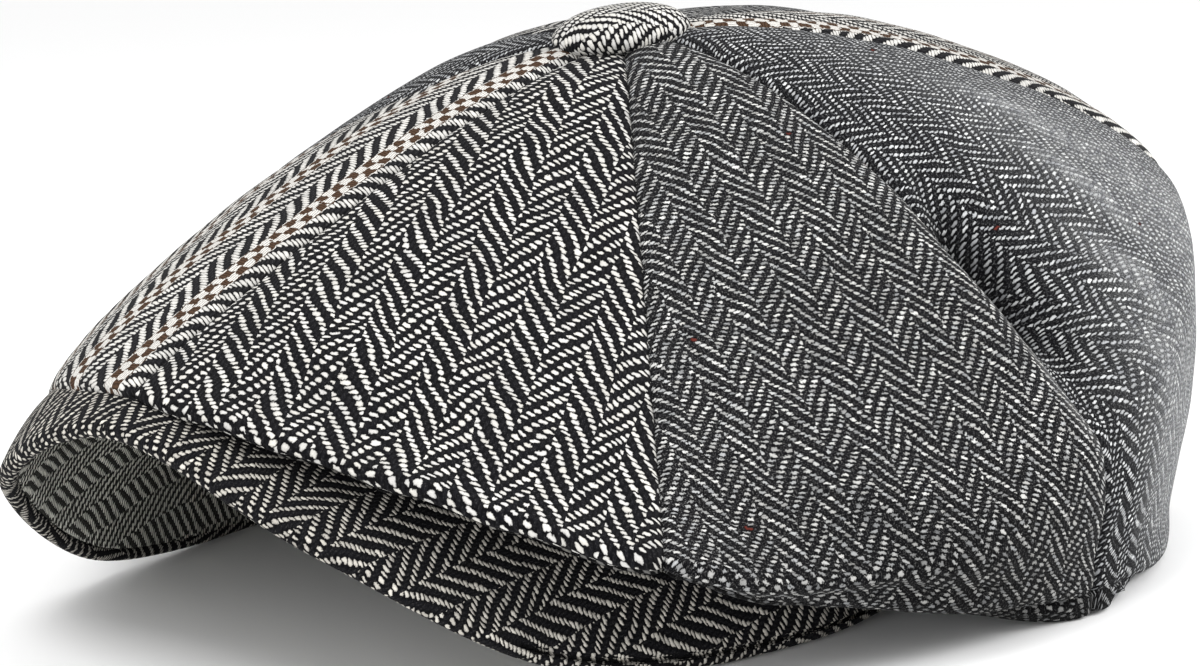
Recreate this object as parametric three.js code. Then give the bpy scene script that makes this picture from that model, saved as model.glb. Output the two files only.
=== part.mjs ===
import * as THREE from "three";

// A flat cap of eight tweed panels, resting on a table by itself.
// Millimetres. +Z is up, the peak points to -Y, and the wearer's left is +X.
// Angles go round the cap in degrees, from the front towards the wearer's left.
// The crown's panels meet under a covered button and fold in to a head band,
// whose lower edge rises at the front over an arched, cloth-covered peak.

// Crown: eight panels of tweed, soft and unstiffened
const crownReach = 136; // centre to the crown's widest line, on average
const crownHeight = 122; // table to the cloth under the button
const panelCount = 8;
const clothWall = 2;
const seamGap = 0.3;
const seamPuff = 1.8; // how much further out a panel's middle lies than its seams
const hemLean = 4.2; // how far the side leans in above the lower fold
const hemFold = 6; // radius of the soft fold at the crown's lower edge
const dentDepth = 8;
const sagDepth = 7.5; // slack cloth hanging below the fold at the left side

// Head opening and its band
const openingHalfLength = 96;
const openingHalfWidth = 84;
const bandWall = 2;
const bandHeight = 24;
const bandRise = 52; // height of the band's lower edge at the front

// Peak
const peakHalfWidth = 91;
const peakReach = 154; // crown's centre to the peak's front edge
const peakLift = 53.5; // height of the peak's front edge at its middle
const peakWall = 3;
const peakBow = 3; // how much the peak swells between its root and its edge
const peakGap = 0.6;

// Covered button
const buttonRadius = 15.5;
const buttonHeight = 9;
const buttonBevel = 3.2;
const buttonCup = 1.4; // how far the button's base is hollowed at its middle
const buttonBase = buttonRadius - buttonBevel;
const eyeRadius = 7; // the small round hole that the panels leave under the button

// Lie of the crown, one row for each seam, angles evenly spaced.
// reach is a share of crownReach. hem, the height of the lower fold, is a share of the
// peak's height at its front edge. shoulder, the height of the widest line, is a share
// of the way from there to the crown's top. spread says how soon the cloth runs out
// from the button, under 1 for a flat top, and dome how soon it falls.
const crownRows = [
  { angle: 0, reach: 1.086, hem: 1.045, shoulder: 0.111, spread: 1.71, dome: 1.82 },
  { angle: 45, reach: 1.057, hem: 0.487, shoulder: 0.06, spread: 1.43, dome: 2.2 },
  { angle: 90, reach: 0.98, hem: 0.115, shoulder: 0.283, spread: 1.17, dome: 1.94 },
  { angle: 135, reach: 0.938, hem: 0.17, shoulder: 0.652, spread: 0.89, dome: 1.59 },
  { angle: 180, reach: 0.94, hem: 0.09, shoulder: 0.733, spread: 0.42, dome: 1.67 },
  { angle: 225, reach: 0.965, hem: 0.14, shoulder: 0.69, spread: 0.5, dome: 1.7 },
  { angle: 270, reach: 0.962, hem: 0.125, shoulder: 0.33, spread: 0.86, dome: 1.5 },
  { angle: 315, reach: 0.97, hem: 0.52, shoulder: 0.08, spread: 1.28, dome: 1.3 },
];

// Dents, where the cloth sinks behind a seam. angle and spread are in degrees, along and
// stretch are shares of the way from the button to the lower fold, depth of dentDepth.
const dentRows = [
  { angle: 97, spread: 7, along: 0.6, stretch: 0.13, depth: 1 },
  { angle: 102, spread: 7, along: 0.78, stretch: 0.1, depth: 0.55 },
  { angle: 262, spread: 9, along: 0.66, stretch: 0.14, depth: 0.6 },
];

// Slack below the lower fold, depth a share of sagDepth
const sagRows = [
  { angle: 94, spread: 17, depth: 1 },
  { angle: 262, spread: 20, depth: 0.6 },
];

// The peak's lower edge, from the middle of the front to the wing's end. along is the
// share of the half edge. across is a share of peakHalfWidth, forward of peakReach and
// lift of peakLift.
const peakRows = [
  { along: 0, across: 0, forward: 1, lift: 1 },
  { along: 0.25, across: 0.582, forward: 0.948, lift: 0.647 },
  { along: 0.5, across: 0.836, forward: 0.686, lift: 0.125 },
  { along: 0.75, across: 1, forward: 0.327, lift: 0.002 },
  { along: 1, across: 0.966, forward: 0.105, lift: 0.03 },
];
const wingAngle = 80; // where the peak's wings end, round the head opening
const bandLevelAngle = 100; // behind this angle the band stands level on the table

const fullTurn = 360;
const panelAngle = fullTurn / panelCount;
const columnsPerPanel = 8;
const topRows = 14;
const sideRows = 7;
const returnRows = 5;
const bandColumns = 72;
const peakColumns = 36;
const peakRowsAcross = 6;

const radians = THREE.MathUtils.degToRad;

// A table's column at any angle, as the smoothest wave through its evenly spaced rows.
function around(rows, column, angle) {
  const count = rows.length;
  let sum = 0;
  for (const row of rows) {
    const away = radians(angle - row.angle);
    const wave = count * Math.tan(away / 2);
    const onRow = Math.abs(Math.sin(away / 2)) < 1e-9;
    sum += row[column] * (onRow ? 1 : Math.sin((count * away) / 2) / wave);
  }
  return sum;
}

// A smooth bump that is 1 at its middle and fades to nothing.
function bump(away, spread) {
  return Math.exp(-((away / spread) ** 2));
}

function turnBetween(a, b) {
  return THREE.MathUtils.euclideanModulo(a - b + fullTurn / 2, fullTurn) - fullTurn / 2;
}

// A point at a distance from the middle, in the direction of an angle.
function place(distance, angle, height) {
  const turn = radians(angle);
  return new THREE.Vector3(distance * Math.sin(turn), -distance * Math.cos(turn), height);
}

// Distance to the head opening's edge, which is an ellipse, plus a margin.
function openingEdge(angle, margin) {
  const turn = radians(angle);
  const across = Math.sin(turn) / (openingHalfWidth + margin);
  const forward = Math.cos(turn) / (openingHalfLength + margin);
  return 1 / Math.hypot(across, forward);
}

// Height of the band's lower edge, level behind and arched over the peak.
function bandFoot(angle) {
  const fromFront = Math.abs(turnBetween(angle, 0));
  const share = Math.min(fromFront / bandLevelAngle, 1);
  return bandRise * Math.cos((share * Math.PI) / 2) ** 2;
}

// The crown's outer face in the upright plane of one angle, as distance and height, from
// the eye under the button over the shoulder and the lower fold to the band's outside.
function crownPath(angle) {
  const reach = crownReach * around(crownRows, "reach", angle);
  const hem = (peakLift + peakWall) * around(crownRows, "hem", angle);
  const shoulder = hem + (crownHeight - hem) * around(crownRows, "shoulder", angle);
  const spread = around(crownRows, "spread", angle);
  const dome = around(crownRows, "dome", angle);

  const fine = topRows * 6;
  const over = [];
  for (let i = 0; i <= fine; i += 1) {
    const left = 1 - i / fine;
    const out = eyeRadius + (reach - eyeRadius) * (1 - left * left);
    const slope = Math.asin(Math.min((out / reach) ** (1 / spread), 1));
    const up = Math.max(Math.cos(slope), 0) ** dome;
    over.push(new THREE.Vector3(out, shoulder + (crownHeight - shoulder) * up, 0));
  }

  const fold = Math.min(hemFold, 0.6 * (shoulder - hem));
  const foldTop = hem + fold;
  const lowest = reach - hemLean - fold;
  const bandSide = openingEdge(angle, bandWall + seamGap);
  const bandTop = bandFoot(angle) + bandHeight - bandWall;
  const inward = lowest - bandSide;
  const upward = bandTop - hem;
  let sag = 0;
  for (const row of sagRows) {
    sag += sagDepth * row.depth * bump(turnBetween(angle, row.angle), row.spread);
  }
  const down = [
    new THREE.Vector3(reach, shoulder, 0),
    new THREE.Vector3(reach - 0.25 * hemLean, (shoulder + foldTop) / 2, 0),
    new THREE.Vector3(reach - hemLean, foldTop, 0),
    new THREE.Vector3(reach - hemLean - 0.3 * fold, hem + 0.3 * fold, 0),
    new THREE.Vector3(lowest, hem, 0),
  ];
  const under = [
    new THREE.Vector3(lowest, hem, 0),
    new THREE.Vector3(lowest - 0.25 * inward, hem + 0.08 * upward - sag, 0),
    new THREE.Vector3(lowest - 0.6 * inward, hem + 0.36 * upward - 0.3 * sag, 0),
    new THREE.Vector3(bandSide, bandTop, 0),
  ];

  const path = new THREE.CatmullRomCurve3(over).getSpacedPoints(topRows);
  const side = new THREE.CatmullRomCurve3([...down, under[1]]);
  const sideEnd = (down.length - 1) / down.length;
  for (let i = 1; i <= sideRows; i += 1) {
    path.push(side.getPoint(sideEnd * Math.sin((i / sideRows) * (Math.PI / 2))));
  }
  const back = new THREE.CatmullRomCurve3([down[down.length - 2], ...under]);
  const backStart = 1 / under.length;
  for (let i = 1; i <= returnRows; i += 1) {
    path.push(back.getPoint(backStart + (1 - backStart) * (i / returnRows)));
  }
  return path;
}

// How far the cloth stands out from its plain path: between the seams it puffs out, and
// in a dent it sinks. share is the share of the way from the button to the lower fold.
function relief(angle, share) {
  const seamShare = turnBetween(angle, 0) / panelAngle;
  const middle = Math.abs(Math.sin(seamShare * Math.PI)) ** 0.8;
  const fade = Math.sin(Math.PI * Math.min(share, 1)) ** 0.5;
  let out = seamPuff * (middle - 0.5) * (share < 1 ? fade : 0);
  for (const row of dentRows) {
    const beside = bump(turnBetween(angle, row.angle), row.spread);
    out -= dentDepth * row.depth * beside * bump(share - row.along, row.stretch);
  }
  return out;
}

// Unit vector at one point of a path, square to it and towards the cloth's inner side.
function inwards(path, i) {
  const before = path[Math.max(i - 1, 0)];
  const after = path[Math.min(i + 1, path.length - 1)];
  return new THREE.Vector3(after.y - before.y, before.x - after.x, 0).normalize();
}

// The crown's cloth at one angle: a list of outer points and the inner points behind them.
function crownSection(angle) {
  const plain = crownPath(angle);
  const outer = plain.map((point, i) => {
    const share = Math.max(i, 0) / (topRows + sideRows);
    return point.clone().addScaledVector(inwards(plain, i), -relief(angle, share));
  });
  const inner = outer.map((point, i) => {
    return point.clone().addScaledVector(inwards(outer, i), clothWall);
  });
  return { outer, inner };
}

// One closed wall of cloth from two grids of points, front[column][row] and back.
// A wall that goes all the way round has no side edges.
function wall(front, back, round) {
  const columns = front.length;
  const rows = front[0].length;
  const positions = [];
  for (const grid of [front, back]) {
    for (const column of grid) {
      for (const point of column) positions.push(point.x, point.y, point.z);
    }
  }
  const at = (side, column, row) => (side * columns + (column % columns)) * rows + row;
  const index = [];
  const quad = (a, b, c, d) => index.push(a, b, c, a, c, d);
  const last = round ? columns : columns - 1;
  for (let i = 0; i < last; i += 1) {
    for (let k = 0; k < rows - 1; k += 1) {
      quad(at(0, i, k), at(0, i, k + 1), at(0, i + 1, k + 1), at(0, i + 1, k));
      quad(at(1, i, k), at(1, i + 1, k), at(1, i + 1, k + 1), at(1, i, k + 1));
    }
    quad(at(0, i, 0), at(0, i + 1, 0), at(1, i + 1, 0), at(1, i, 0));
    const k = rows - 1;
    quad(at(0, i, k), at(1, i, k), at(1, i + 1, k), at(0, i + 1, k));
  }
  if (!round) {
    for (let k = 0; k < rows - 1; k += 1) {
      quad(at(0, 0, k), at(1, 0, k), at(1, 0, k + 1), at(0, 0, k + 1));
      quad(at(0, last, k), at(0, last, k + 1), at(1, last, k + 1), at(1, last, k));
    }
  }
  const geometry = new THREE.BufferGeometry();
  geometry.setAttribute("position", new THREE.Float32BufferAttribute(positions, 3));
  geometry.setIndex(index);
  return geometry;
}

// One panel, between two seams. Its side edges lie square to the neighbour's, half a
// seam gap back from the seam's plane.
function panelGeometry(startAngle) {
  const outer = [];
  const inner = [];
  for (let i = 0; i <= columnsPerPanel; i += 1) {
    const angle = startAngle + (panelAngle * i) / columnsPerPanel;
    const section = crownSection(angle);
    const shift = new THREE.Vector3();
    if (i === 0) shift.copy(place(seamGap / 2, angle + 90, 0));
    if (i === columnsPerPanel) shift.copy(place(seamGap / 2, angle - 90, 0));
    outer.push(section.outer.map((point) => place(point.x, angle, point.y).add(shift)));
    inner.push(section.inner.map((point) => place(point.x, angle, point.y).add(shift)));
  }
  return wall(outer, inner, false);
}

// The head band: a strip that stands on the table behind and rises over the peak.
function bandGeometry() {
  const outer = [];
  const inner = [];
  for (let i = 0; i < bandColumns; i += 1) {
    const angle = (fullTurn * i) / bandColumns;
    const foot = bandFoot(angle);
    const heights = [foot + bandHeight, foot + bandHeight / 2, foot];
    outer.push(heights.map((z) => place(openingEdge(angle, bandWall), angle, z)));
    inner.push(heights.map((z) => place(openingEdge(angle, 0), angle, z)));
  }
  return wall(outer, inner, true);
}

// The peak: a curved sheet from its root on the band's outside to its free edge.
function peakGeometry() {
  const half = peakRows.map(
    (row) =>
      new THREE.Vector3(
        row.across * peakHalfWidth,
        -row.forward * peakReach,
        row.lift * peakLift,
      ),
  );
  const mirrored = half.slice(1).map((point) => new THREE.Vector3(-point.x, point.y, point.z));
  const edge = new THREE.CatmullRomCurve3([...mirrored.reverse(), ...half]);
  const under = [];
  for (let i = 0; i <= peakColumns; i += 1) {
    const share = i / peakColumns;
    const angle = wingAngle * (2 * share - 1);
    const root = place(openingEdge(angle, bandWall + peakGap), angle, bandFoot(angle) + 1);
    const rim = edge.getPoint(share);
    rim.z = Math.max(rim.z, 0);
    const column = [];
    for (let k = 0; k <= peakRowsAcross; k += 1) {
      const out = k / peakRowsAcross;
      const point = root.clone().lerp(rim, out);
      const swell = peakBow * 4 * out * (1 - out) * Math.cos(radians(angle));
      column.push(point.add(new THREE.Vector3(0, 0, swell)));
    }
    under.push(column);
  }
  const over = under.map((column, i) =>
    column.map((point, k) => {
      const left = under[Math.max(i - 1, 0)][k];
      const right = under[Math.min(i + 1, peakColumns)][k];
      const behind = column[Math.max(k - 1, 0)];
      const ahead = column[Math.min(k + 1, peakRowsAcross)];
      const along = new THREE.Vector3().subVectors(right, left);
      const out = new THREE.Vector3().subVectors(ahead, behind);
      const square = new THREE.Vector3().crossVectors(out, along).normalize();
      return point.clone().addScaledVector(square, peakWall);
    }),
  );
  return wall(over, under, false);
}

// The button: a low round dome, turned to lie on the crown's top.
function buttonGeometry() {
  const profile = new THREE.Shape();
  profile.moveTo(0, buttonCup);
  profile.lineTo(buttonBase, 0);
  profile.quadraticCurveTo(buttonRadius, 0, buttonRadius, buttonBevel);
  profile.bezierCurveTo(
    buttonRadius,
    buttonHeight * 0.75,
    buttonRadius * 0.6,
    buttonHeight,
    0,
    buttonHeight,
  );
  const points = profile.getPoints(8);
  points[points.length - 1].x = 0;
  const sides = 28;
  const geometry = new THREE.LatheGeometry(points, sides);
  geometry.rotateX(Math.PI / 2);
  return geometry;
}

// Height of the crown's top face at a distance from its centre.
function crownTop(distance, angle) {
  const { outer } = crownSection(angle);
  for (let i = 1; i < outer.length; i += 1) {
    if (outer[i].x >= distance) {
      const share = (distance - outer[i - 1].x) / (outer[i].x - outer[i - 1].x);
      return THREE.MathUtils.lerp(outer[i - 1].y, outer[i].y, share);
    }
  }
  return 0;
}

// Tilt and height at which the button's hollowed base just clears the crown's top.
function buttonSeat() {
  const front = crownTop(buttonRadius, 0);
  const back = crownTop(buttonRadius, fullTurn / 2);
  const tilt = Math.atan2(back - front, 2 * buttonRadius);
  let height = 0;
  for (let angle = 0; angle < fullTurn; angle += panelAngle / columnsPerPanel) {
    for (const distance of [eyeRadius, (eyeRadius + buttonBase) / 2, buttonBase]) {
      const point = place(distance, angle, crownTop(distance, angle));
      const hollow = buttonCup * (1 - distance / buttonBase);
      height = Math.max(height, point.z - point.y * Math.tan(tilt) - hollow);
    }
  }
  return { tilt, height: height + seamGap };
}

const tweedBlackCream = new THREE.MeshStandardMaterial({
  color: 0x8b8984,
  roughness: 0.95,
  metalness: 0,
});
const tweedCharcoal = new THREE.MeshStandardMaterial({
  color: 0x6e6e70,
  roughness: 0.95,
  metalness: 0,
});
const tweedDark = new THREE.MeshStandardMaterial({
  color: 0x4a4b4e,
  roughness: 0.95,
  metalness: 0,
});
const tweedCream = new THREE.MeshStandardMaterial({
  color: 0xb9b4aa,
  roughness: 0.95,
  metalness: 0,
});
const tweedPeak = new THREE.MeshStandardMaterial({
  color: 0x777570,
  roughness: 0.95,
  metalness: 0,
});

const panels = [
  { name: "panel_front_left", material: tweedBlackCream },
  { name: "panel_side_left", material: tweedCharcoal },
  { name: "panel_rear_left", material: tweedDark },
  { name: "panel_back_left", material: tweedCream },
  { name: "panel_back_right", material: tweedCharcoal },
  { name: "panel_rear_right", material: tweedBlackCream },
  { name: "panel_side_right", material: tweedDark },
  { name: "panel_front_right", material: tweedCream },
];

const cap = new THREE.Group();
const crown = new THREE.Group();
panels.forEach((panel, i) => {
  const mesh = new THREE.Mesh(panelGeometry(panelAngle * i), panel.material);
  mesh.name = panel.name;
  crown.add(mesh);
});

const band = new THREE.Mesh(bandGeometry(), tweedDark);
band.name = "band";

const peak = new THREE.Mesh(peakGeometry(), tweedPeak);
peak.name = "peak";

const button = new THREE.Mesh(buttonGeometry(), tweedBlackCream);
button.name = "button";
const seat = buttonSeat();
button.rotation.x = seat.tilt;
button.position.z = seat.height;
crown.add(button);

cap.add(crown, band, peak);

// The origin is on the table, under the middle of the cap's length and width.
const extent = new THREE.Box3().setFromObject(cap);
const middle = extent.getCenter(new THREE.Vector3());
cap.position.set(-middle.x, -middle.y, 0);

export default cap;
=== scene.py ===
import math

import bmesh
import bpy
import numpy as np
from mathutils import Matrix, Vector, noise


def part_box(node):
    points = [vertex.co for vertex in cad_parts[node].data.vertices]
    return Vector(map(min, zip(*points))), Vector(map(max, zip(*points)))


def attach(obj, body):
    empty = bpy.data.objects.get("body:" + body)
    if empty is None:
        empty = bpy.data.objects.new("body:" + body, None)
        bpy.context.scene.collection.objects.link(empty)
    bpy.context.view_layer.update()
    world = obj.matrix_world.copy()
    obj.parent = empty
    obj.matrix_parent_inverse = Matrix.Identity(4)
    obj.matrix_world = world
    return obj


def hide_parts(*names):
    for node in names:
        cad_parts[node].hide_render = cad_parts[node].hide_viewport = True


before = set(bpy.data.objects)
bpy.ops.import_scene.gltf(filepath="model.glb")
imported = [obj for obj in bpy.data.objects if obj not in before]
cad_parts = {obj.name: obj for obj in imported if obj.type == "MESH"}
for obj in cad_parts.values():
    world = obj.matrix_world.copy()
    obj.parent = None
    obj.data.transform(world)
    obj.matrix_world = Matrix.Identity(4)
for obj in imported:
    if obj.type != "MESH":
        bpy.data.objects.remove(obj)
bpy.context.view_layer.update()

# The photographer's set: the cap rests by itself on a pale sheet, with large soft
# lights. The camera stands ahead of the wearer's left side, a little above the table.
band_low, band_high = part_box("band")
crown_middle = (band_low + band_high) / 2
crown_middle.z = 0

# The angle, distance and lens are those that bring the seams and outlines of the cap to
# where the photo has them.
camera_azimuth = math.radians(44.71)
camera_elevation = math.radians(9.94)
camera_roll = math.radians(-2.99)
camera_distance = 0.65
camera_target = crown_middle + Vector((0.0001, -0.0130, 0.0519))
focal_pixels = 2741.7
photo_width = 1200

back = Vector((
    math.sin(camera_azimuth) * math.cos(camera_elevation),
    -math.cos(camera_azimuth) * math.cos(camera_elevation),
    math.sin(camera_elevation),
))
level_right = Vector((math.cos(camera_azimuth), math.sin(camera_azimuth), 0))
level_up = back.cross(level_right)
cos_roll, sin_roll = math.cos(camera_roll), math.sin(camera_roll)
camera_right = level_right * cos_roll + level_up * sin_roll
camera_up = level_up * cos_roll - level_right * sin_roll
camera_data = bpy.data.cameras.new("camera")
camera_data.lens = focal_pixels / photo_width * camera_data.sensor_width
camera = bpy.data.objects.new("camera", camera_data)
bpy.context.collection.objects.link(camera)
turned = Matrix((camera_right, camera_up, back)).transposed().to_4x4()
camera.matrix_world = Matrix.Translation(camera_target + back * camera_distance) @ turned
bpy.context.scene.camera = camera


class Wire:
    """One output of a material's node tree. Sums and products of wires add Math nodes."""

    def __init__(self, tree, socket=None):
        self.tree = tree
        self.socket = socket

    def node(self, kind, settings=None, inputs=None, output=0):
        """Adds a node, with its settings first and then its inputs' values or links."""
        made = self.tree.nodes.new(kind)
        for name, value in (settings or {}).items():
            setattr(made, name, value)
        for name, value in (inputs or {}).items():
            socket = made.inputs[name]
            if isinstance(value, Wire):
                self.tree.links.new(value.socket, socket)
            elif socket.type == "RGBA" and isinstance(value, tuple) and len(value) == 3:
                socket.default_value = (*value, 1)
            else:
                socket.default_value = value
        return Wire(self.tree, made.outputs[output] if made.outputs else None)

    def math(self, operation, *values):
        """The result of a Math node on wires or numbers."""
        return self.node("ShaderNodeMath", {"operation": operation}, dict(enumerate(values)))

    def __add__(self, other):
        return self.math("ADD", self, other)

    def __radd__(self, other):
        return self.math("ADD", other, self)

    def __sub__(self, other):
        return self.math("SUBTRACT", self, other)

    def __rsub__(self, other):
        return self.math("SUBTRACT", other, self)

    def __mul__(self, other):
        return self.math("MULTIPLY", self, other)

    def __rmul__(self, other):
        return self.math("MULTIPLY", other, self)

    def __truediv__(self, other):
        return self.math("DIVIDE", self, other)

    def __pow__(self, other):
        return self.math("POWER", self, other)

    def __mod__(self, other):
        return self.math("FLOORED_MODULO", self, other)

    def __lt__(self, other):
        return self.math("LESS_THAN", self, other)

    def __gt__(self, other):
        return self.math("GREATER_THAN", self, other)

    def floor(self):
        """The whole number below the value."""
        return self.math("FLOOR", self)

    def clamped(self):
        """The value held between 0 and 1."""
        return self.node("ShaderNodeClamp", None, {0: self})

    def part(self, axis):
        """One axis of a vector."""
        return self.node("ShaderNodeSeparateXYZ", None, {0: self}, output=axis)

    def blend(self, first, second):
        """A colour between two others, with this wire as the share of the second."""
        return self.node(
            "ShaderNodeMix",
            {"data_type": "RGBA"},
            {0: self, 6: first, 7: second},
            output=2,
        )


def new_material(name):
    """An empty node material: its tree's wire, and a function that ends it in a shader."""
    material = bpy.data.materials.new(name)
    material.use_nodes = True
    material.node_tree.nodes.clear()
    tree = Wire(material.node_tree)

    def finish(**inputs):
        named = {key.replace("_", " "): value for key, value in inputs.items()}
        shader = tree.node("ShaderNodeBsdfPrincipled", None, named)
        tree.node("ShaderNodeOutputMaterial", None, {"Surface": shader})
        return material

    return tree, finish


floor_size = 14.0
floor_mesh = bmesh.new()
bmesh.ops.create_grid(floor_mesh, x_segments=1, y_segments=1, size=floor_size / 2)
floor_data = bpy.data.meshes.new("floor")
floor_mesh.to_mesh(floor_data)
floor_mesh.free()
floor = bpy.data.objects.new("floor", floor_data)
bpy.context.collection.objects.link(floor)
tree, finish = new_material("floor_paper")
floor_data.materials.append(finish(Base_Color=(0.95, 0.95, 0.95, 1), Roughness=0.9))

scene_view = bpy.context.scene.view_settings
scene_view.view_transform = "Standard"
scene_view.look = "None"

world = bpy.data.worlds.new("soft_room")
bpy.context.scene.world = world
world.use_nodes = True
world.node_tree.nodes["Background"].inputs["Color"].default_value = (1, 1, 1, 1)
world.node_tree.nodes["Background"].inputs["Strength"].default_value = 1.0


def soft_light(name, azimuth, elevation, distance, size, power):
    """A square lamp that faces the cap, placed by two angles as the camera is."""
    lamp = bpy.data.lights.new(name, "AREA")
    lamp.size = size
    lamp.energy = power
    holder = bpy.data.objects.new(name, lamp)
    turn, rise = math.radians(azimuth), math.radians(elevation)
    away = Vector((
        math.sin(turn) * math.cos(rise),
        -math.cos(turn) * math.cos(rise),
        math.sin(rise),
    ))
    holder.location = camera_target + away * distance
    holder.rotation_mode = "QUATERNION"
    holder.rotation_quaternion = away.to_track_quat("Z", "Y")
    holder.visible_camera = False
    bpy.context.collection.objects.link(holder)


# name, azimuth and elevation in degrees, distance and size in metres, power in watts
soft_light("key", 15, 62, 1.3, 0.6, 7)
soft_light("side", 128, 28, 1.2, 0.5, 9)
soft_light("low", 8, 5, 1.3, 0.5, 4)

# Tweed: a two and two herringbone of thick wool. Each pick passes over two ends and
# under two, stepping sideways, and the step turns round every few ends with a clean break.
# The yarn is uneven, with paler and darker hairs through it.


def rounded(share):
    """The height of an arch over its share from 0 to 1, and nothing outside."""
    arch = share.math("SINE", share * math.pi)
    return share.math("MAXIMUM", arch, 0.0)


def scaled(colour, strength):
    """A colour made lighter or darker."""
    return colour.node(
        "ShaderNodeMix", {"data_type": "RGBA", "blend_type": "MULTIPLY"},
        {0: 1.0, 6: colour, 7: strength}, output=2)


def tweed(name, warp, weft, other_weft, end_pitch=0.91, pick_pitch=1.33, ends=8, repeat=4,
          over=2.0, length=1.0, thickness=0.78, lean=0.3, unevenness=0.2, hairs=0.012,
          fuzz=0.75, flecks=0.0, check=None):
    """A material for cloth whose map tweed_mm holds millimetres across and along it.

    The pitches are the spacing of the threads in millimetres. Every so many ends the
    herringbone turns round. A float repeats over some ends and passes over a few of them.
    The map seam_mm holds the distance to the nearest seam, and a pale nap of rubbed wool
    and painted highlight; below nothing it holds how much painted shade darkens the cloth.
    """
    sway, waver = 5, 0.7
    warp_rise = 0.55
    tree, finish = new_material(name)
    cloth = tree.node("ShaderNodeUVMap", {"uv_map": "tweed_mm"})
    edges = tree.node("ShaderNodeUVMap", {"uv_map": "seam_mm"})
    drift = tree.node(
        "ShaderNodeTexNoise", None, {"Vector": cloth, "Scale": 0.06, "Detail": 2.0}, output=1)
    jitter = tree.node(
        "ShaderNodeTexNoise", None, {"Vector": cloth, "Scale": 0.8, "Detail": 1.0}, output=1)
    wobble = tree.node(
        "ShaderNodeTexNoise", None, {"Vector": cloth, "Scale": 2.3, "Detail": 1.0}, output=1)
    across = (cloth.part(0) / end_pitch + (drift.part(0) - 0.5) * sway
              + (jitter.part(0) - 0.5) * waver + (wobble.part(0) - 0.5) * (0.5 * fuzz))
    along = (cloth.part(1) / pick_pitch + (drift.part(1) - 0.5) * sway
             + (jitter.part(1) - 0.5) * waver + (wobble.part(1) - 0.5) * (0.4 * fuzz))

    block = (across / ends).floor()
    odd = block % 2
    inside = across - block * ends
    folded = inside + odd * (ends - 2 * inside)
    end = folded.floor()
    pick = along.floor()
    shifted = folded + pick + 2 * odd
    float_number = (shifted / repeat).floor()
    weft_step = (shifted % repeat) / over
    warp_step = ((end + along + 2 * odd) % repeat - over) / (repeat - over)

    fibre = tree.node(
        "ShaderNodeTexNoise", None, {"Vector": cloth, "Scale": 3.2, "Detail": 3.0})
    float_place = tree.node(
        "ShaderNodeCombineXYZ", None, {0: float_number, 1: pick, 2: block})
    chance = tree.node(
        "ShaderNodeTexWhiteNoise", {"noise_dimensions": "3D"}, {"Vector": float_place},
        output=1)
    swell = chance.part(0)
    tone = chance.part(1)
    tint = chance.part(2)

    beside_pick = along - pick - 0.5 - (weft_step - 0.5) * (1 - 2 * odd) * lean
    end_on = (weft_step - 0.5) / (0.5 * length)
    side_on = beside_pick / (0.5 * thickness * (0.84 + swell * 0.3))
    off_centre = (end_on.math("ABSOLUTE", end_on) ** 2.6 + side_on * side_on
                  + (fibre - 0.5) * fuzz)
    weft_shows = ((1.12 - off_centre) * 2.8).clamped()
    weft_height = (1.0 - off_centre).clamped() ** 0.5
    beside_end = folded - end - 0.5
    warp_height = (1 - 3.2 * beside_end * beside_end).clamped() * rounded(warp_step)
    height = (warp_height * warp_rise
              + weft_shows * (weft_height - warp_height * warp_rise))

    weft_colour = tint.blend(weft, other_weft)
    if flecks:
        rust_wool = (0.20, 0.04, 0.03)
        weft_colour = (swell > (1 - flecks)).blend(weft_colour, rust_wool)
    weft_tone = (1 - unevenness) + tone * unevenness
    # Painted shade: each weft float is painted darker towards its edges, where it rounds away.
    weft_tone = weft_tone * (0.76 + 0.24 * weft_height) * (0.78 + 0.44 * fibre)
    weft_tone = weft_tone * (0.74 + 0.52 * drift.part(2))
    weft_seen = scaled(weft_colour, weft_tone)
    hair = ((fibre - 0.52) * 6).clamped() * (0.4 + 0.6 * warp_height)
    # Painted shade: the warp is painted darker where it sinks between the weft floats.
    warp_seen = scaled((hair * hairs * 4).blend(warp, weft), 0.35 + 0.65 * warp_height)
    seen = weft_shows.blend(warp_seen, weft_seen)
    if check:
        every, width, block_size, dye = check
        stripe_waver, row_waver = 1.4, 1.1
        from_stripe = (cloth.part(0) + every / 2) % every - every / 2
        from_stripe = from_stripe + (jitter.part(2) - 0.5) * stripe_waver
        in_stripe = from_stripe.math("ABSOLUTE", from_stripe) < width / 2
        column = (from_stripe / block_size + 10).floor()
        row = (cloth.part(1) / block_size + (jitter.part(1) - 0.5) * row_waver).floor()
        dyed = (column + row) % 2
        upright = rounded((across * 1.1) % 1) ** 0.5
        level = rounded((along * 1.2) % 1) ** 0.5
        strand = upright + dyed * (level - upright)
        # Painted shade: the basket is painted darker in the hollows between its strands.
        basket = scaled(dyed.blend(weft, dye), (0.3 + 0.7 * strand) * (0.45 + 1.1 * fibre))
        seen = in_stripe.blend(seen, basket)
        height = height + in_stripe * (strand * 0.7 - height)
    from_seam = edges.part(0)
    # The pale nap is partly rubbed wool and partly painted highlight.
    nap_and_painted_light = edges.part(1).clamped()
    painted_shade = (0 - edges.part(1)).clamped()
    pale = scaled(weft_colour, 0.15 + 0.75 * fibre)
    seen = (nap_and_painted_light * (fibre * 1.9 - 0.5)).clamped().blend(seen, pale)
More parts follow.
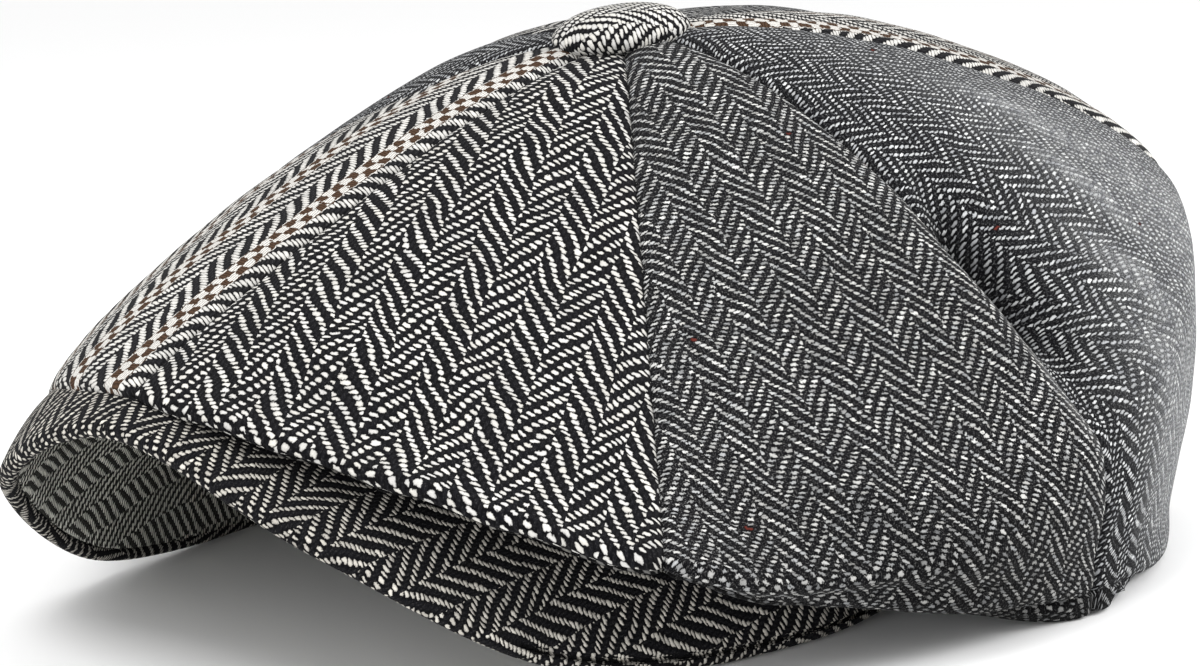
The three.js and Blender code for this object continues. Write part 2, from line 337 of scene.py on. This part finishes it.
    # Painted shade: the colour darkens within a millimetre of a seam, as in its groove, and
    # wherever the seam map asks for shade.
    seen = scaled(seen, (0.22 + 0.78 * (from_seam / 0.9).clamped()) * (1 - painted_shade))
    thread_relief = 0.00035
    relief = tree.node(
        "ShaderNodeBump", None,
        {"Strength": 1.0, "Distance": thread_relief, "Height": height + (fibre - 0.5) * 0.4})
    return finish(Base_Color=seen, Roughness=0.95, Normal=relief, Sheen_Weight=0.015,
                  Sheen_Roughness=0.5, Specular_IOR_Level=0.06)


# The crown: eight gores of tweed, sewn edge to edge with the seams turned inside, that
# meet under the button. The cloth has no stiffener. It droops over the peak in front,
# stands square behind, and folds in at its lower edge to the head band.
panel_angle = 45
crown_reach = 0.136
crown_height = 0.122
cloth_wall = 0.0007
# How far the cloth's inner face stands off its plain path, fading out just past the hem.
cloth_loft = 0.0011
loft_end = 1.03
table_gap = 0.0009
seam_puff = 0.0018
seam_groove = 0.0014
groove_width = 0.0012
hem_lean = 0.0042
least_hem = 0.0024
far_hem_dip = 0.0016
far_hem_angle, far_hem_spread = -27, 13
hem_fold = 0.006
# The side corner overhangs its hem most at one angle, and folds sharpest at another.
corner_lean = 0.0022
corner_angle, corner_spread = 128, 24
sharp_angle, sharp_spread = 108, 28
sharper_fold = 0.0042
# In front the bend at the shoulder stays crisp, and elsewhere it is rounded off.
crisp_angle, crisp_spread = 5, 52
least_shoulder = 0.0020
button_dimple = 0.0026
dimple_reach = 0.019
dent_depth = 0.008
sag_depth = 0.0075
# Painted shade in the hem's crease, on its underside and where it meets the table: how dark,
# and how high it reaches. Near the sharp side corner a share of it is left off.
hem_painted_shade = 0.75
hem_painted_shade_height = 0.0011
unshaded_share, unshaded_spread = 0.6, 20
# Small stitches hold the front hem, and the cloth rises between them.
tack_step = 8.6
tack_rise = 0.0013
tack_angle, tack_spread = 15, 42
ripple, fine_ripple, hem_wave = 0.0007, 0.0003, 0.0016
# Beside a seam the weave is drawn down a little by the sewing.
seam_draw = 0.0011
seam_draw_width = 0.003
eye_radius = 0.007
peak_lift = 0.0535
peak_wall = 0.003
band_wall = 0.002
band_gap = 0.0003
band_height = 0.024
band_rise = 0.052
band_level_angle = 100
opening_half_length = (band_high.y - band_low.y) / 2 - band_wall
opening_half_width = (band_high.x - band_low.x) / 2 - band_wall

# The crown's outline at eight angles round from the middle of the front: how far it
# reaches, how high its hem and its shoulder lie, and how full and domed it is between.
# angle, reach, hem, shoulder, spread, dome
crown_rows = np.array([
    (0, 1.086, 1.045, 0.022, 1.71, 1.82),
    (45, 1.057, 0.487, 0.016, 1.43, 2.20),
    (90, 0.980, 0.100, 0.283, 1.17, 1.94),
    (135, 0.938, 0.020, 0.652, 0.89, 1.59),
    (180, 0.940, 0.090, 0.733, 0.42, 1.67),
    (225, 0.965, 0.140, 0.690, 0.50, 1.70),
    (270, 0.962, 0.125, 0.330, 0.86, 1.50),
    (315, 0.977, 0.560, 0.017, 1.28, 1.30),
])
# Each fold: its angle, its spread in degrees, how far along from the button to the hem,
# its stretch along, and its depth. A ridge has a depth below nothing.
fold_rows = [
    (94.0, 3.0, 0.56, 0.085, 1.5),
    (98, 6.0, 0.575, 0.09, 0.75),
    (93.5, 3.6, 0.68, 0.08, 0.70),
    (92, 2.6, 0.78, 0.08, 0.42),
    (85.5, 3.4, 0.62, 0.15, -0.34),
    (118, 5.0, 0.43, 0.07, -0.16),
    (111, 4.6, 0.54, 0.07, -0.26),
    (105, 4.2, 0.66, 0.07, -0.28),
    (101, 4.0, 0.78, 0.08, -0.20),
    (262, 9, 0.60, 0.14, 0.70),
    (165, 22, 0.42, 0.15, 0.40),
    (150, 8, 0.62, 0.10, 0.22),
    (205, 9, 0.66, 0.12, 0.42),
    (236, 7, 0.48, 0.12, 0.34),
    (302, 6, 0.70, 0.12, 0.30),
    (290, 9, 0.42, 0.10, 0.22),
    (20, 11, 0.90, 0.07, 0.16),
    (63, 6, 0.93, 0.06, 0.20),
]
# A pale nap, rubbed wool and painted highlight: angle, spread, along, stretch, strength.
nap_and_painted_light_rows = [
    # Rubbed wool along the ridges.
    (118, 1.7, 0.43, 0.07, 0.7),
    (111, 1.5, 0.54, 0.07, 0.9),
    (105, 1.6, 0.66, 0.07, 0.8),
    (101, 1.8, 0.78, 0.07, 0.5),
    # Painted highlight where light grazes the far side, over a rubbed nap.
    (121, 11.5, 0.72, 0.38, 1.0),
    (110, 8.0, 0.86, 0.14, 0.75),
    (102, 6.0, 0.84, 0.12, 0.70),
    # Painted highlight on the lit edge of the seam's ridge.
    (88.6, 0.9, 0.66, 0.16, 0.7),
]
# Painted shade in the deep folds, in the crease low at the front and high on the back: the
# same, and how much darker.
painted_shade_rows = [
    (93.0, 3.2, 0.555, 0.065, 1.20),
    (92.0, 2.4, 0.62, 0.05, 0.85),
    (150.0, 15.0, 0.45, 0.20, 0.32),
    (70.0, 14.0, 0.62, 0.16, 0.16),
    (93.2, 2.6, 0.57, 0.085, 0.40),
    (72.0, 20.0, 0.98, 0.14, 0.60),
]
# Where the slack cloth sags between the hem and the band: angle, spread, depth.
sag_rows = [(94, 17, 1.0), (262, 20, 0.6)]
# Where the slack cloth bulges out on the table below the fold, and how high it lies there.
roll_angle, roll_spread = 92, 10
roll_heights = (0.0026, 0.0024)


def lie_of(angle):
    """Reach, hem, shoulder, spread and dome at an angle, a smooth wave through the rows."""
    away = np.radians(angle - crown_rows[:, 0])
    count = len(crown_rows)
    half = away / 2
    on_row = np.abs(np.sin(half)) < 1e-9
    share = np.where(on_row, 1, np.sin(count * half) / (count * np.tan(half + on_row)))
    return share @ crown_rows[:, 1:]


def bump(away, spread):
    """A soft bump one high, and how much of it is left this far away."""
    return np.exp(-(away / spread) ** 2)


def turn_between(a, b):
    """The turn from angle b to angle a, the short way round."""
    return (a - b + 180) % 360 - 180


def opening_edge(angle, margin):
    """How far out the head opening's oval lies at an angle, a margin wider."""
    turn = math.radians(angle)
    across = math.sin(turn) / (opening_half_width + margin)
    forward = math.cos(turn) / (opening_half_length + margin)
    return 1 / math.hypot(across, forward)


def band_foot(angle):
    """The height of the band's lower edge: it rises towards the peak."""
    share = min(abs(turn_between(angle, 0)) / band_level_angle, 1)
    return band_rise * math.cos(share * math.pi / 2) ** 2


def flowing(points, steps):
    """A smooth curve through points, each stretch in even steps."""
    p = np.array(points, float)
    p = np.vstack([2 * p[0] - p[1], p, 2 * p[-1] - p[-2]])
    t = np.linspace(0, 1, steps, endpoint=False)[:, None]
    parts = []
    for a, b, c, d in zip(p, p[1:], p[2:], p[3:]):
        parts.append(
            0.5 * (2 * b + (c - a) * t + (2 * a - 5 * b + 4 * c - d) * t ** 2
                   + (3 * b - a - 3 * c + d) * t ** 3)
        )
    return np.vstack(parts + [p[-2][None]])


def run_along(points):
    """How far along a line of points each one lies."""
    return np.concatenate([[0], np.cumsum(np.linalg.norm(np.diff(points, axis=0), axis=1))])


def spaced(points, shares):
    """Points at shares of a line's length."""
    length = run_along(points)
    wanted = np.asarray(shares) * length[-1]
    return np.stack([np.interp(wanted, length, points[:, k]) for k in range(2)], axis=1)


def eased(line, middle, stretch, spread, strength):
    """The same line, with its bend near the middle share spread over more of its length."""
    window = 24
    steps = np.arange(-window, window + 1)
    weights = np.exp(-(steps / spread) ** 2)
    longer = np.concatenate([
        2 * line[0] - line[window:0:-1], line, 2 * line[-1] - line[-2:-2 - window:-1]])
    soft = np.stack([np.convolve(longer[:, k], weights / weights.sum(), "valid")
                     for k in range(2)], axis=1)
    near = strength * bump(np.linspace(0, 1, len(line)) - middle, stretch)[:, None]
    return line * (1 - near) + soft * near


# The rows of cloth from the button to the shoulder, down the side, and in below the hem.
top_rows, side_rows, under_rows = 104, 46, 18
lower_steps = 24


def crown_path(angle):
    """The plain outer face at one angle as distance and height, eye to head band."""
    reach, hem, shoulder, spread, dome = lie_of(angle)
    reach *= crown_reach
    hem = max(hem * (peak_lift + peak_wall), least_hem)
    hem -= far_hem_dip * bump(turn_between(angle, far_hem_angle), far_hem_spread)
    shoulder = hem + max((crown_height - hem) * shoulder, least_shoulder)
    left = 1 - np.linspace(0, 1, 400)
    out = eye_radius + (reach - eye_radius) * (1 - left ** 2)
    slope = np.arcsin(np.minimum((out / reach) ** (1 / spread), 1))
    up = shoulder + (crown_height - shoulder) * np.maximum(np.cos(slope), 0) ** dome
    over = np.stack([out, up - button_dimple * bump(out, dimple_reach)], axis=1)

    lean = hem_lean + corner_lean * bump(turn_between(angle, corner_angle), corner_spread)
    sharp = bump(turn_between(angle, sharp_angle), sharp_spread)
    fold = min(hem_fold - sharper_fold * sharp, 0.6 * (shoulder - hem))
    lowest = reach - lean - fold
    band_side = opening_edge(angle, band_wall + band_gap)
    band_top = band_foot(angle) + band_height - band_wall
    inward, upward = lowest - band_side, band_top - hem
    sag = sum(sag_depth * d * bump(turn_between(angle, a), s) for a, s, d in sag_rows)
    roll = bump(turn_between(angle, roll_angle), roll_spread)
    drop = shoulder - hem - fold
    slack = np.array([
        (lowest - 0.25 * inward, hem + 0.08 * upward - sag),
        (lowest - 0.6 * inward, hem + 0.36 * upward - 0.3 * sag),
    ])
    rolled = np.array([
        (lowest + 1.2 * fold, roll_heights[0]),
        (lowest - 0.3 * inward, roll_heights[1]),
    ])
    slack = slack * (1 - roll) + rolled * roll
    lower = flowing([
        (reach, shoulder),
        (reach - 0.12 * lean, hem + fold + 0.58 * drop),
        (reach - 0.60 * lean, hem + fold + 0.31 * drop),
        (reach - 0.96 * lean, hem + fold + 0.12 * drop),
        (reach - lean, hem + fold),
        (reach - lean - 0.3 * fold, hem + 0.3 * fold),
        (lowest, hem),
        slack[0],
        slack[1],
        (band_side, band_top),
    ], lower_steps)
    hem_point = 6 * lower_steps
    outside = np.vstack([over, lower[1:hem_point + 1]])
    run = run_along(outside)
    bend = run[len(over) - 1] / run[-1]
    soft = 1 - 0.9 * bump(turn_between(angle, crisp_angle), crisp_spread)
    outside = eased(spaced(outside, np.linspace(0, 1, 500)), bend, 0.06, 9, soft)
    side = np.sin(np.linspace(0, math.pi / 2, side_rows + 1))
    shares = np.concatenate([
        np.linspace(0, bend, top_rows + 1), bend + (1 - bend) * side[1:]])
    under = spaced(lower[hem_point:], np.linspace(0, 1, under_rows + 1))
    return np.vstack([spaced(outside, shares), under[1:]])


def inward_normals(path):
    """The direction square to a path at each point, towards the inside of the cap."""
    ahead = np.gradient(path, axis=0)
    square = np.stack([ahead[:, 1], -ahead[:, 0]], axis=1)
    return square / np.linalg.norm(square, axis=1)[:, None]


def folds_at(rows, angle, share):
    """The sum of a table's soft bumps for each row at one angle."""
    total = np.zeros_like(share)
    for a, spread, along, stretch, depth in rows:
        total += depth * bump(turn_between(angle, a), spread) * bump(share - along, stretch)
    return total


def crown_relief(angle, seam_distance, share):
    """How far the cloth stands out from its plain path, for each row at one angle."""
    middle = abs(math.sin(turn_between(angle, 0) / panel_angle * math.pi)) ** 0.8
    fade = np.sin(math.pi * np.minimum(share, 1)) ** 0.5 * (share < 1)
    out = seam_puff * (middle - 0.5) * fade
    out = out - seam_groove * np.exp(-(seam_distance / groove_width) ** 1.5)
    loft = cloth_loft * bump(np.maximum(share - loft_end, 0), 0.08)
    return out + loft - dent_depth * folds_at(fold_rows, angle, share)


# The columns of a panel stand closest at its two seams.
column_count = 60
row_count = top_rows + side_rows + under_rows
even = np.linspace(0, 1, column_count + 1)
column_share = 0.22 * even + 0.78 * (0.5 - 0.5 * np.cos(math.pi * even))


def crown_panel(name, start, cloth, grain, offset):
    """One gore, from the seam at its start angle to the next seam."""
    angles = start + panel_angle * column_share
    plain = np.array([crown_path(angle) for angle in angles])
    turns = np.radians(angles)
    ring = np.stack([np.sin(turns), -np.cos(turns)], axis=1)
    flat = plain[:, :, 0, None] * ring[:, None, :]
    placed = np.concatenate([flat, plain[:, :, 1:]], axis=2)
    step = np.linalg.norm(np.diff(placed, axis=0), axis=2)
    from_start = np.concatenate([np.zeros((1, row_count + 1)), np.cumsum(step, axis=0)])
    seam_distance = np.minimum(from_start, from_start[-1] - from_start)
    run = np.linalg.norm(np.diff(plain, axis=1), axis=2)
    along = np.concatenate([np.zeros((column_count + 1, 1)), np.cumsum(run, axis=1)], axis=1)
    hem_row = top_rows + side_rows
    share = along / along[:, hem_row, None]

    points = np.empty((column_count + 1, row_count + 1, 3))
    nap_and_painted_light = np.empty((column_count + 1, row_count + 1))
    for i, angle in enumerate(angles):
        relief = crown_relief(angle, seam_distance[i], share[i])
        # Each point's pale nap and painted highlight, less its painted shade in the folds and
        # at the hem.
        nap_and_highlight = np.minimum(folds_at(nap_and_painted_light_rows, angle, share[i]), 1)
        above = np.maximum(along[i, hem_row] - along[i] - hem_painted_shade_height, 0)
        unshaded = unshaded_share * bump(turn_between(angle, sharp_angle), unshaded_spread)
        hem_shade = hem_painted_shade * (1 - unshaded) * bump(above, hem_painted_shade_height)
        fold_shade = np.minimum(folds_at(painted_shade_rows, angle, share[i]), 0.93)
        nap_and_painted_light[i] = nap_and_highlight - np.maximum(fold_shade, hem_shade)
        for k in range(row_count + 1):
            spot = Vector(placed[i, k])
            relief[k] += ripple * noise.noise(spot * 26) + fine_ripple * noise.noise(spot * 80)
        moved = plain[i] - inward_normals(plain[i]) * relief[:, None]
        points[i, :, :2] = moved[:, 0, None] * ring[i]
        points[i, :, 2] = moved[:, 1]
        hem_spot = Vector(placed[i, hem_row])
        wave = hem_wave * noise.noise(hem_spot * 55 + Vector((3, 1, 9)))
        between_tacks = abs(math.sin(math.pi * (angle + 2) / tack_step)) ** 0.7
        tacked = bump(turn_between(angle, tack_angle), tack_spread)
        wave += tack_rise * (between_tacks - 0.5) * tacked
        points[i, :, 2] += wave * bump(share[i] - 1, 0.05)
    points[:, :, 2] = np.maximum(points[:, :, 2], table_gap)
    points += np.array(crown_middle)
    # From just above the shoulder down, the weave is measured on the moved cloth itself.
    first_bent = top_rows - 4
    bent = np.linalg.norm(np.diff(points, axis=1), axis=2)
    run[:, first_bent:] = bent[:, first_bent:]

    middle_column = column_count // 2
    across = from_start - from_start[middle_column]
    opening_out = np.gradient(plain[:, :, 0], axis=1) / np.gradient(along, axis=1)
    along[:, 1:] = np.cumsum(run, axis=1)
    bend = opening_out / plain[:, :, 0]
    # The gore is cut flat, so its picks run straight across it while its rows curve.
    curve = bend * across ** 2 / 2
    settled = int(0.8 * top_rows)
    curve[:, settled:] = curve[:, settled, None]
    along = along - curve - seam_draw * np.exp(-seam_distance / seam_draw_width)
    turn = math.radians(grain)
    cloth_map = np.stack([
        across * math.cos(turn) - along * math.sin(turn) + offset,
        along * math.cos(turn) + across * math.sin(turn),
    ], axis=2) * 1000
    edge_map = np.stack([seam_distance * 1000, nap_and_painted_light], axis=2)
    return cloth_piece(name, points, cloth_map, edge_map, cloth, cloth_wall)


def cloth_piece(name, points, cloth_map, edge_map, cloth, wall, joined=False):
    """A grid of points, columns by rows, as a closed wall of cloth with two maps."""
    columns, rows = points.shape[:2]
    grid = bmesh.new()
    bmesh.ops.create_grid(grid, x_segments=columns - 1, y_segments=rows - 1, size=1)
    grid.verts.ensure_lookup_table()
    cell = {}
    for vert in grid.verts:
        i = round((vert.co.x + 1) / 2 * (columns - 1))
        k = round((vert.co.y + 1) / 2 * (rows - 1))
        cell[vert.index] = (i, k)
    for vert in grid.verts:
        vert.co = points[cell[vert.index]]
    chart = grid.loops.layers.uv.new("tweed_mm")
    edge_chart = grid.loops.layers.uv.new("seam_mm")
    for face in grid.faces:
        for loop in face.loops:
            loop[chart].uv = cloth_map[cell[loop.vert.index]]
            loop[edge_chart].uv = edge_map[cell[loop.vert.index]]
    if joined:
        bmesh.ops.remove_doubles(grid, verts=grid.verts, dist=1e-6)
    for face in grid.faces:
        face.smooth = True
    data = bpy.data.meshes.new(name)
    grid.to_mesh(data)
    grid.free()
    data.materials.append(cloth)
    piece = bpy.data.objects.new(name, data)
    bpy.context.collection.objects.link(piece)
    thick = piece.modifiers.new("wall", "SOLIDIFY")
    thick.thickness = wall
    thick.offset = -1
    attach(piece, "root")
    return piece


# Each cloth: the wool of its warp, and the two wools of its weft.
black_wool = (0.008, 0.008, 0.010)
cream_wool = (0.70, 0.68, 0.63)
grey_wool = (0.66, 0.65, 0.63)
black_cream = tweed("tweed_black_cream", black_wool, cream_wool, grey_wool)
charcoal = tweed(
    "tweed_charcoal", (0.006, 0.006, 0.008), (0.86, 0.85, 0.82), (0.48, 0.49, 0.50),
    end_pitch=0.78, pick_pitch=0.97, length=0.93, thickness=0.76, unevenness=0.55,
    hairs=0.06, fuzz=2.3, flecks=0.001)
dark = tweed(
    "tweed_dark", (0.007, 0.007, 0.009), (0.82, 0.83, 0.83), (0.42, 0.43, 0.45),
    end_pitch=0.65, pick_pitch=0.92, length=0.92, thickness=0.70, unevenness=0.45, hairs=0.055,
    fuzz=1.6, flecks=0.0005)
cream_check = tweed(
    "tweed_cream_check", (0.014, 0.014, 0.016), (0.72, 0.70, 0.66), (0.62, 0.61, 0.58),
    end_pitch=0.77, pick_pitch=0.87, ends=12, repeat=6, over=3.3, length=1.04, thickness=0.98,
    unevenness=0.15, check=(18.5, 5.6, 2.5, (0.075, 0.042, 0.025)))

# Each panel: its cloth, and how its grain leans and where it lies, in degrees and metres.
panel_cloths = [
    ("panel_front_left", "tweed_black_cream", black_cream, 4, 0),
    ("panel_side_left", "tweed_charcoal", charcoal, 0, 0),
    ("panel_rear_left", "tweed_dark", dark, 0, 0),
    ("panel_back_left", "tweed_cream_check", cream_check, -17, 0.0019),
    ("panel_back_right", "tweed_charcoal", charcoal, 2, 0),
    ("panel_rear_right", "tweed_black_cream", black_cream, -3, 0),
    ("panel_side_right", "tweed_dark", dark, 1, 0),
    ("panel_front_right", "tweed_cream_check", cream_check, 20, 0.0016),
]
for number, (node, slot, cloth, grain, offset) in enumerate(panel_cloths):
    panel = crown_panel(node + "_tweed", panel_angle * number, cloth, grain, offset)
    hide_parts(node)

# The head band: a strip of dark tweed, folded double, round the head opening. It stands
# level on the table behind, and rises at the front over the peak.


def seamless(cloth_map):
    """The seam map of a cloth that shows no seam: each point is far from one, with no nap and
    no painted shade.
    """
    edges = np.zeros(cloth_map.shape)
    edges[:, :, 0] = 9
    return edges


band_cloth = tweed(
    "tweed_band", (0.012, 0.012, 0.014), (0.34, 0.33, 0.31), (0.22, 0.22, 0.22),
    unevenness=0.5, hairs=0.1)
band_columns, band_rows = 180, 8
band_points = np.empty((band_columns + 1, band_rows + 1, 3))
band_map = np.empty((band_columns + 1, band_rows + 1, 2))
round_band = 0.0
for i in range(band_columns + 1):
    angle = 360 * i / band_columns
    turn = math.radians(angle)
    edge = opening_edge(angle, band_wall)
    for k in range(band_rows + 1):
        height = band_foot(angle) + band_height * (1 - k / band_rows)
        band_points[i, k] = (edge * math.sin(turn), -edge * math.cos(turn), height)
        band_map[i, k] = (1000 * height, 0)
    if i:
        round_band += float(np.linalg.norm(band_points[i, -1] - band_points[i - 1, -1]))
    band_map[i, :, 1] = 1000 * round_band
band_points += np.array(crown_middle)
band = cloth_piece(
    "band_tweed", band_points, band_map, seamless(band_map), band_cloth, band_wall,
    joined=True)
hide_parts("band")

# The peak: a stiff board covered in the black and cream tweed above, turned round the
# free edge, with a second cloth below. It arches from wing to wing over the brow.
peak_half_width = 0.091
peak_reach = 0.154
peak_bow, far_bow = 0.0035, 0.0186
rim_bulge = 0.0034
# These bring the highest points of the bow and of the bulge to about one.
bow_scale, bulge_scale = 4.9, 12.2
peak_board = 0.0022
cover_wall = 0.001
cover_gap = 0.0001
peak_gap = 0.0006
least_edge = 0.001
root_rise = 0.001
wing_angle = 80
# The free edge in the near half, in shares of the peak's half width, reach and lift:
# across, forward, lift, from the middle of the front to the wing's end.
peak_rows = np.array([
    (0.000, 1.000, 1.000),
    (0.582, 0.948, 0.647),
    (0.836, 0.686, 0.125),
    (1.000, 0.327, 0.002),
    (0.966, 0.105, 0.030),
])
# The same for the far half, which is bent a little otherwise, without the middle.
far_rows = np.array([
    (0.572, 0.940, 0.660),
    (0.845, 0.690, 0.125),
    (1.000, 0.300, 0.002),
    (0.966, 0.105, 0.030),
])
half_edge = peak_rows * (peak_half_width, -peak_reach, peak_lift)
other_half = far_rows[::-1] * (-peak_half_width, -peak_reach, peak_lift)
edge_columns = 16
peak_edge = flowing(np.vstack([other_half, half_edge]), edge_columns)
peak_edge[:, 2] = np.maximum(peak_edge[:, 2], least_edge)
peak_columns = len(peak_edge) - 1
peak_root = np.empty_like(peak_edge)
for i in range(peak_columns + 1):
    angle = wing_angle * (2 * i / peak_columns - 1)
    turn = math.radians(angle)
    edge = opening_edge(angle, band_wall + peak_gap)
    root_height = band_foot(angle) + root_rise
    peak_root[i] = (edge * math.sin(turn), -edge * math.cos(turn), root_height)


def peak_sheet(shares):
    """The peak's lower face at shares of the way from its root to its edge."""
    out = np.asarray(shares)[None, :, None]
    points = peak_root[:, None] * (1 - out) + peak_edge[:, None] * out
    side = np.linspace(-wing_angle, wing_angle, peak_columns + 1)
    far = 1 / (1 + np.exp((side + 12) / 7))
    bow = (peak_bow + (far_bow - peak_bow) * far) * np.cos(np.radians(side)) ** 0.7
    swell = bow[:, None] * bow_scale * out[..., 0] ** 1.4 * (1 - out[..., 0])
    rim = far[:, None] * rim_bulge * bulge_scale * out[..., 0] ** 4 * (1 - out[..., 0])
    points[:, :, 2] += swell + rim
    return points


def sheet_normals(points):
    """The direction square to a sheet at each of its points, upwards on the peak."""
    along = np.gradient(points, axis=0)
    out = np.gradient(points, axis=1)
    square = np.cross(out, along)
    return square / np.linalg.norm(square, axis=2)[:, :, None]


def plan_map(points):
    """Millimetres of straight-cut cloth: across by the arch, and along from the front."""
    step = np.linalg.norm(np.diff(points[:, :, ::2], axis=0), axis=2)
    across = np.concatenate([np.zeros((1, points.shape[1])), np.cumsum(step, axis=0)])
    across -= across[len(across) // 2]
    return np.stack([across, points[:, :, 1]], axis=2) * 1000


def turned_map(flat_map, points, last):
    """The same cloth carried on past a row, square to it, round the peak's free edge."""
    ahead = np.gradient(flat_map[:, last], axis=0)
    square = np.stack([ahead[:, 1], -ahead[:, 0]], axis=1)
    square /= np.linalg.norm(square, axis=1)[:, None]
    run = np.linalg.norm(np.diff(points[:, last:], axis=1), axis=2).cumsum(axis=1) * 1400
    carried = flat_map[:, last, None] + square[:, None] * run[:, :, None]
    return np.concatenate([flat_map[:, :last + 1], carried], axis=1)


peak_shares = np.concatenate([np.linspace(0, 0.955, 28), [0.982, 1.0]])
lower_face = peak_sheet(peak_shares)
normals = sheet_normals(lower_face)
half_wall = peak_board / 2
middle_face = lower_face + normals * half_wall
rim_out = middle_face[:, -1] - middle_face[:, -2]
rim_out /= np.linalg.norm(rim_out, axis=1)[:, None]
rim_line = middle_face[:, -1] - rim_out * half_wall
rim_up = normals[:, -1]
rim_steps = [
    rim_line + rim_up * half_wall * math.cos(turn) + rim_out * half_wall * math.sin(turn)
    for turn in np.linspace(0, math.pi, 9)
]
turned_under = [
    lower_face[:, -2] * (1 - share) + rim_steps[-1] * share for share in (0.6, 0.2)
]
top_face = (middle_face + normals * half_wall)[:, :-1]
top_points = np.concatenate(
    [top_face, np.stack(rim_steps, axis=1), np.stack(turned_under, axis=1)], axis=1)
top_map = turned_map(plan_map(top_points), top_points, top_face.shape[1] - 1)
# The cloth that turns under at the rim gets a little painted shade towards its end, as at a
# seam.
top_edges = seamless(top_map)
turned_rows = len(rim_steps) + len(turned_under)
top_edges[:, top_face.shape[1]:, 0] = np.linspace(1.0, 0.7, turned_rows)
peak_cloth = tweed(
    "tweed_peak", black_wool, (0.72, 0.69, 0.62), (0.58, 0.55, 0.50), end_pitch=0.66,
    pick_pitch=0.90, ends=10, repeat=5, over=2.3, thickness=0.78, unevenness=0.3, fuzz=1.2)
peak = cloth_piece(
    "peak_top_tweed", top_points + np.array(crown_middle), top_map, top_edges, peak_cloth,
    cover_wall)
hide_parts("peak")

under_points = (lower_face[:, :-1] - normals[:, :-1] * cover_gap)[::-1]
straight = plan_map(under_points)
under_grain = math.radians(-10)
under_map = np.stack([
    straight[:, :, 0] * math.cos(under_grain) + straight[:, :, 1] * math.sin(under_grain),
    straight[:, :, 1] * math.cos(under_grain) - straight[:, :, 0] * math.sin(under_grain),
], axis=2)
# The cloth below is a paler weave, and its colours and warp are made lighter still: painted
# light against the shade under the peak.
under_cloth = tweed(
    "tweed_peak_under", (0.040, 0.040, 0.036), (0.93, 0.92, 0.84), (0.82, 0.82, 0.74),
    end_pitch=0.51, pick_pitch=0.72, over=2.1, length=1.1, thickness=0.86, lean=0.1, hairs=0.03,
    fuzz=1.0)
peak_under = cloth_piece(
    "peak_under_tweed", under_points + np.array(crown_middle), under_map,
    seamless(under_map), under_cloth, cover_wall)

# The button: a round metal form covered in the black and cream tweed, gathered beneath,
# riveted down where the panels meet.
button_low, button_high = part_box("button")
button_middle = (button_low + button_high) / 2
button_radius = 0.0155
button_height = 0.0078
button_tilt = math.radians(6.8)
button_grain = 0.7
pleats, pleat_depth = 14, 0.014
button_rows, button_columns = 26, 96
button_points = np.empty((button_columns + 1, button_rows + 1, 3))
button_map = np.empty((button_columns + 1, button_rows + 1, 2))
# The outline of one side, from the middle of the top round the edge to below.
profile = flowing([
    (0.0002, button_height),
    (0.45 * button_radius, 0.95 * button_height),
    (0.8 * button_radius, 0.74 * button_height),
    (button_radius, 0.38 * button_height),
    (0.93 * button_radius, 0.12 * button_height),
    (0.7 * button_radius, 0.0),
    (0.3 * button_radius, 0.0),
], 20)
profile = spaced(profile, np.linspace(0, 1, button_rows + 1))
profile_run = run_along(profile)
lean = Matrix.Rotation(button_tilt, 3, "X")
for i in range(button_columns + 1):
    turn = 2 * math.pi * i / button_columns
    for k, (out, height) in enumerate(profile):
        pleat = 1 + pleat_depth * math.cos(pleats * turn) * (k / button_rows) ** 2
        button_points[i, k] = lean @ Vector(
            (out * pleat * math.sin(turn), -out * pleat * math.cos(turn), height))
        button_map[i, k] = (
            1000 * profile_run[k] * math.sin(turn + button_grain),
            -1000 * profile_run[k] * math.cos(turn + button_grain))
# The button sits in the dimple that it draws into the crown.
button_shift = button_low.z - button_dimple - button_points[:, :, 2].min()
button_points += (button_middle.x, button_middle.y, button_shift)
button_cloth = tweed(
    "tweed_button", black_wool, cream_wool, grey_wool, end_pitch=0.8, pick_pitch=1.05,
    over=2.5, length=1.08, thickness=0.98, unevenness=0.12, fuzz=0.6)
button = cloth_piece(
    "button_tweed", button_points, button_map, seamless(button_map), button_cloth,
    cover_wall, joined=True)
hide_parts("button")
